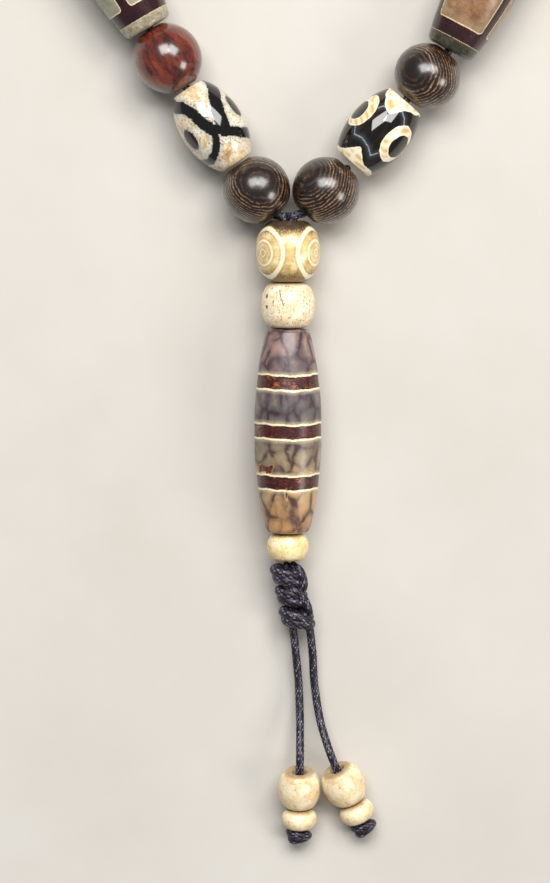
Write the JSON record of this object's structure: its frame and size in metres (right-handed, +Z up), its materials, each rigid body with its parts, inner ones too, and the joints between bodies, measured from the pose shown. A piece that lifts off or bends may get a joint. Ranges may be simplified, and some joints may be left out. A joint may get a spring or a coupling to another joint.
{
  "type": "mala prayer beads",
  "caption": "Closed loop of wood, agate and dzi beads on a braided cord, with a guru bead, a long barrel bead pendant and two knotted, bead-ended tails.",
  "frame": {"origin": "middle of the footprint of the mala as it lies flat, on the surface that it lies on", "axes": "+Z up from the surface; +Y from the tails, past the guru bead, to the top of the bead loop; +X to the right as seen from above"},
  "size_m": [0.1488, 0.3192, 0.0128],
  "materials": {
    "braided_cord": "tight round braid, waxed, dark plum with paler flecks",
    "agate": "polished, cream with black bands or near-black with tan eyes",
    "window_dzi": "polished, maroon with grey-green windows outlined in cream",
    "banded_dzi": "satin polish, veined grey with three maroon bands",
    "rosewood": "polished red-brown wood with dark streaks",
    "wenge": "polished near-black wood with fine golden-brown grain",
    "guru_bone": "polished honey-coloured bone with cream inlaid circles",
    "bone": "satin polished bone, cream with brown specks"
  },
  "bodies": {
    "yoke": {"cord_yoke": "braided_cord"},
    "left_lower": {"cord_left_lower": "braided_cord"},
    "left_upper": {"cord_left_upper": "braided_cord"},
    "top": {"cord_top": "braided_cord"},
    "right_lower": {"cord_right_lower": "braided_cord"},
    "right_upper": {"cord_right_upper": "braided_cord"},
    "knots": {"knot_upper": "braided_cord", "knot_middle": "braided_cord", "knot_lower": "braided_cord"},
    "tail_left": {"tail_cord_left": "braided_cord", "end_knot_left": "braided_cord"},
    "tail_right": {"tail_cord_right": "braided_cord", "end_knot_right": "braided_cord"},
    "tail_bead_large_left": {"tail_bead_large_left": "bone"},
    "tail_bead_large_right": {"tail_bead_large_right": "bone"},
    "wenge_left_1": {"wenge_left_1": "wenge"},
    "wenge_right_1": {"wenge_right_1": "wenge"},
    "agate_left_1": {"agate_left_1": "agate"},
    "rosewood_left_1": {"rosewood_left_1": "rosewood"},
    "dzi_left_1": {"dzi_left_1": "window_dzi"},
    "wenge_left_2": {"wenge_left_2": "wenge"},
    "agate_left_2": {"agate_left_2": "agate"},
    "rosewood_left_2": {"rosewood_left_2": "rosewood"},
    "dzi_left_2": {"dzi_left_2": "window_dzi"},
    "wenge_left_3": {"wenge_left_3": "wenge"},
    "agate_left_3": {"agate_left_3": "agate"},
    "rosewood_left_3": {"rosewood_left_3": "rosewood"},
    "dzi_left_3": {"dzi_left_3": "window_dzi"},
    "wenge_top_left": {"wenge_top_left": "wenge"},
    "agate_top": {"agate_top": "agate"},
    "rosewood_top_right": {"rosewood_top_right": "rosewood"},
    "agate_right_1": {"agate_right_1": "agate"},
    "wenge_right_2": {"wenge_right_2": "wenge"},
    "dzi_right_1": {"dzi_right_1": "window_dzi"},
    "rosewood_right_2": {"rosewood_right_2": "rosewood"},
    "agate_right_2": {"agate_right_2": "agate"},
    "wenge_right_3": {"wenge_right_3": "wenge"},
    "dzi_right_2": {"dzi_right_2": "window_dzi"},
    "rosewood_right_3": {"rosewood_right_3": "rosewood"},
    "agate_right_3": {"agate_right_3": "agate"},
    "wenge_right_4": {"wenge_right_4": "wenge"},
    "dzi_right_3": {"dzi_right_3": "window_dzi"},
    "guru_bead": {"guru_bead": "guru_bone"},
    "bone_bead_upper": {"bone_bead_upper": "bone"},
    "barrel_bead": {"barrel_bead": "banded_dzi"},
    "bone_bead_lower": {"bone_bead_lower": "bone"},
    "tail_bead_small_left": {"tail_bead_small_left": "bone"},
    "tail_bead_small_right": {"tail_bead_small_right": "bone"}
  },
  "joints": [
    {"name": "left_arm_fold", "type": "hinge", "parent": "yoke", "child": "left_lower", "pos_m": [-0.01, -0.0375, 0.006], "axis": [0, 0, 1], "range_deg": [-6, 6]},
    {"name": "left_side_fold", "type": "hinge", "parent": "left_lower", "child": "left_upper", "pos_m": [-0.06196, 0.0565, 0.006], "axis": [0, 0, 1], "range_deg": [-12, 12]},
    {"name": "top_fold", "type": "hinge", "parent": "left_upper", "child": "top", "pos_m": [-0.01987, 0.15007, 0.006], "axis": [0, 0, 1], "range_deg": [-6, 6]},
    {"name": "right_arm_fold", "type": "hinge", "parent": "yoke", "child": "right_lower", "pos_m": [0.01, -0.0375, 0.006], "axis": [0, 0, 1], "range_deg": [-6, 6]},
    {"name": "right_side_fold", "type": "hinge", "parent": "right_lower", "child": "right_upper", "pos_m": [0.06196, 0.0565, 0.006], "axis": [0, 0, 1], "range_deg": [-12, 12]},
    {"name": "knots_swing", "type": "hinge", "parent": "yoke", "child": "knots", "pos_m": [-0.0011, -0.1083, 0.0045], "axis": [0, 0, 1], "range_deg": [-15, 15]},
    {"name": "left_tail_swing", "type": "hinge", "parent": "knots", "child": "tail_left", "pos_m": [-0.0002, -0.12035, 0.003], "axis": [0, 0, 1], "range_deg": [-25, 0]},
    {"name": "right_tail_swing", "type": "hinge", "parent": "knots", "child": "tail_right", "pos_m": [0.0028, -0.12035, 0.003], "axis": [0, 0, 1], "range_deg": [0, 25]},
    {"name": "left_tail_bead_slide", "type": "slide", "parent": "tail_left", "child": "tail_bead_large_left", "axis": [0, 0.9511, 0.309], "range_m": [0, 0.0015]},
    {"name": "right_tail_bead_slide", "type": "slide", "parent": "tail_right", "child": "tail_bead_large_right", "axis": [-0.3959, 0.8647, 0.309], "range_m": [0, 0.001]},
    {"name": "wenge_left_1_spin", "type": "hinge", "parent": "yoke", "child": "wenge_left_1", "pos_m": [-0.00663, -0.04206, 0.006], "axis": [-0.5736, 0.8192, 0], "continuous": true},
    {"name": "wenge_right_1_spin", "type": "hinge", "parent": "yoke", "child": "wenge_right_1", "pos_m": [0.0056, -0.04215, 0.006], "axis": [0.682, 0.7314, 0], "continuous": true},
    {"name": "agate_left_1_spin", "type": "hinge", "parent": "left_lower", "child": "agate_left_1", "pos_m": [-0.01456, -0.03074, 0.0057], "axis": [-0.5592, 0.829, 0], "continuous": true},
    {"name": "rosewood_left_1_spin", "type": "hinge", "parent": "left_lower", "child": "rosewood_left_1", "pos_m": [-0.02232, -0.01886, 0.006], "axis": [-0.5299, 0.848, 0], "continuous": true},
    {"name": "dzi_left_1_spin", "type": "hinge", "parent": "left_lower", "child": "dzi_left_1", "pos_m": [-0.0351, 0.00286, 0.0064], "axis": [-0.5, 0.866, 0], "continuous": true},
    {"name": "wenge_left_2_spin", "type": "hinge", "parent": "left_lower", "child": "wenge_left_2", "pos_m": [-0.04747, 0.02492, 0.006], "axis": [-0.454, 0.891, 0], "continuous": true},
    {"name": "agate_left_2_spin", "type": "hinge", "parent": "left_lower", "child": "agate_left_2", "pos_m": [-0.05371, 0.03779, 0.0057], "axis": [-0.4226, 0.9063, 0], "continuous": true},
    {"name": "rosewood_left_2_spin", "type": "hinge", "parent": "left_lower", "child": "rosewood_left_2", "pos_m": [-0.05955, 0.05084, 0.006], "axis": [-0.3907, 0.9205, 0], "continuous": true},
    {"name": "dzi_left_2_spin", "type": "hinge", "parent": "left_upper", "child": "dzi_left_2", "pos_m": [-0.06577, 0.07526, 0.0064], "axis": [-0.1994, 0.9799, 0], "continuous": true},
    {"name": "wenge_left_3_spin", "type": "hinge", "parent": "left_upper", "child": "wenge_left_3", "pos_m": [-0.06842, 0.10007, 0.006], "axis": [0.1908, 0.9816, 0], "continuous": true},
    {"name": "agate_left_3_spin", "type": "hinge", "parent": "left_upper", "child": "agate_left_3", "pos_m": [-0.0638, 0.11349, 0.0057], "axis": [0.4226, 0.9063, 0], "continuous": true},
    {"name": "rosewood_left_3_spin", "type": "hinge", "parent": "left_upper", "child": "rosewood_left_3", "pos_m": [-0.05661, 0.12576, 0.006], "axis": [0.6088, 0.7934, 0], "continuous": true},
    {"name": "dzi_left_3_spin", "type": "hinge", "parent": "left_upper", "child": "dzi_left_3", "pos_m": [-0.03637, 0.14035, 0.0064], "axis": [0.8616, 0.5075, 0], "continuous": true},
    {"name": "wenge_top_left_spin", "type": "hinge", "parent": "top", "child": "wenge_top_left", "pos_m": [-0.01402, 0.15197, 0.006], "axis": [0.9511, 0.309, 0], "continuous": true},
    {"name": "agate_top_spin", "type": "hinge", "parent": "top", "child": "agate_top", "pos_m": [-0.00002, 0.15387, 0.0057], "axis": [1, 0, 0], "continuous": true},
    {"name": "rosewood_top_right_spin", "type": "hinge", "parent": "top", "child": "rosewood_top_right", "pos_m": [0.01398, 0.15197, 0.006], "axis": [0.9511, -0.309, 0], "continuous": true},
    {"name": "agate_right_1_spin", "type": "hinge", "parent": "right_lower", "child": "agate_right_1", "pos_m": [0.01492, -0.03184, 0.0057], "axis": [0.6561, 0.7547, 0], "continuous": true},
    {"name": "wenge_right_2_spin", "type": "hinge", "parent": "right_lower", "child": "wenge_right_2", "pos_m": [0.02352, -0.02195, 0.006], "axis": [0.6561, 0.7547, 0], "continuous": true},
    {"name": "dzi_right_1_spin", "type": "hinge", "parent": "right_lower", "child": "dzi_right_1", "pos_m": [0.03618, -0.00082, 0.0064], "axis": [0.4695, 0.8829, 0], "continuous": true},
    {"name": "rosewood_right_2_spin", "type": "hinge", "parent": "right_lower", "child": "rosewood_right_2", "pos_m": [0.04777, 0.02166, 0.006], "axis": [0.4226, 0.9063, 0], "continuous": true},
    {"name": "agate_right_2_spin", "type": "hinge", "parent": "right_lower", "child": "agate_right_2", "pos_m": [0.05395, 0.03588, 0.0057], "axis": [0.3827, 0.9239, 0], "continuous": true},
    {"name": "wenge_right_3_spin", "type": "hinge", "parent": "right_lower", "child": "wenge_right_3", "pos_m": [0.05963, 0.05029, 0.006], "axis": [0.342, 0.9397, 0], "continuous": true},
    {"name": "dzi_right_2_spin", "type": "hinge", "parent": "right_upper", "child": "dzi_right_2", "pos_m": [0.06577, 0.07526, 0.0064], "axis": [0.1994, 0.9799, 0], "continuous": true},
    {"name": "rosewood_right_3_spin", "type": "hinge", "parent": "right_upper", "child": "rosewood_right_3", "pos_m": [0.06842, 0.10007, 0.006], "axis": [-0.1908, 0.9816, 0], "continuous": true},
    {"name": "agate_right_3_spin", "type": "hinge", "parent": "right_upper", "child": "agate_right_3", "pos_m": [0.0638, 0.11349, 0.0057], "axis": [-0.4226, 0.9063, 0], "continuous": true},
    {"name": "wenge_right_4_spin", "type": "hinge", "parent": "right_upper", "child": "wenge_right_4", "pos_m": [0.05661, 0.12576, 0.006], "axis": [-0.6088, 0.7934, 0], "continuous": true},
    {"name": "dzi_right_3_spin", "type": "hinge", "parent": "right_upper", "child": "dzi_right_3", "pos_m": [0.03637, 0.14035, 0.0064], "axis": [-0.8616, 0.5075, 0], "continuous": true},
    {"name": "guru_bead_spin", "type": "hinge", "parent": "yoke", "child": "guru_bead", "pos_m": [-0.0011, -0.0529, 0.0057], "axis": [0, 1, 0], "continuous": true},
    {"name": "bone_bead_upper_spin", "type": "hinge", "parent": "yoke", "child": "bone_bead_upper", "pos_m": [-0.0011, -0.0625, 0.0053], "axis": [0, 1, 0], "continuous": true},
    {"name": "barrel_bead_spin", "type": "hinge", "parent": "yoke", "child": "barrel_bead", "pos_m": [-0.0011, -0.08485, 0.00605], "axis": [0, 1, 0], "continuous": true},
    {"name": "bone_bead_lower_spin", "type": "hinge", "parent": "yoke", "child": "bone_bead_lower", "pos_m": [-0.0011, -0.10565, 0.0052], "axis": [0, 1, 0], "continuous": true},
    {"name": "tail_bead_small_left_spin", "type": "hinge", "parent": "tail_left", "child": "tail_bead_small_left", "pos_m": [0.00096, -0.1552, 0.00325], "axis": [0, 0.9848, 0.1736], "continuous": true},
    {"name": "tail_bead_small_right_spin", "type": "hinge", "parent": "tail_right", "child": "tail_bead_small_right", "pos_m": [0.01133, -0.15399, 0.00325], "axis": [-0.41, 0.8954, 0.1736], "continuous": true}
  ],
  "couplings": [
    {"joint": "left_side_fold", "follows": "left_arm_fold", "ratio": -2},
    {"joint": "top_fold", "follows": "left_arm_fold", "ratio": 1},
    {"joint": "right_arm_fold", "follows": "left_arm_fold", "ratio": -1},
    {"joint": "right_side_fold", "follows": "left_arm_fold", "ratio": 2}
  ]
}
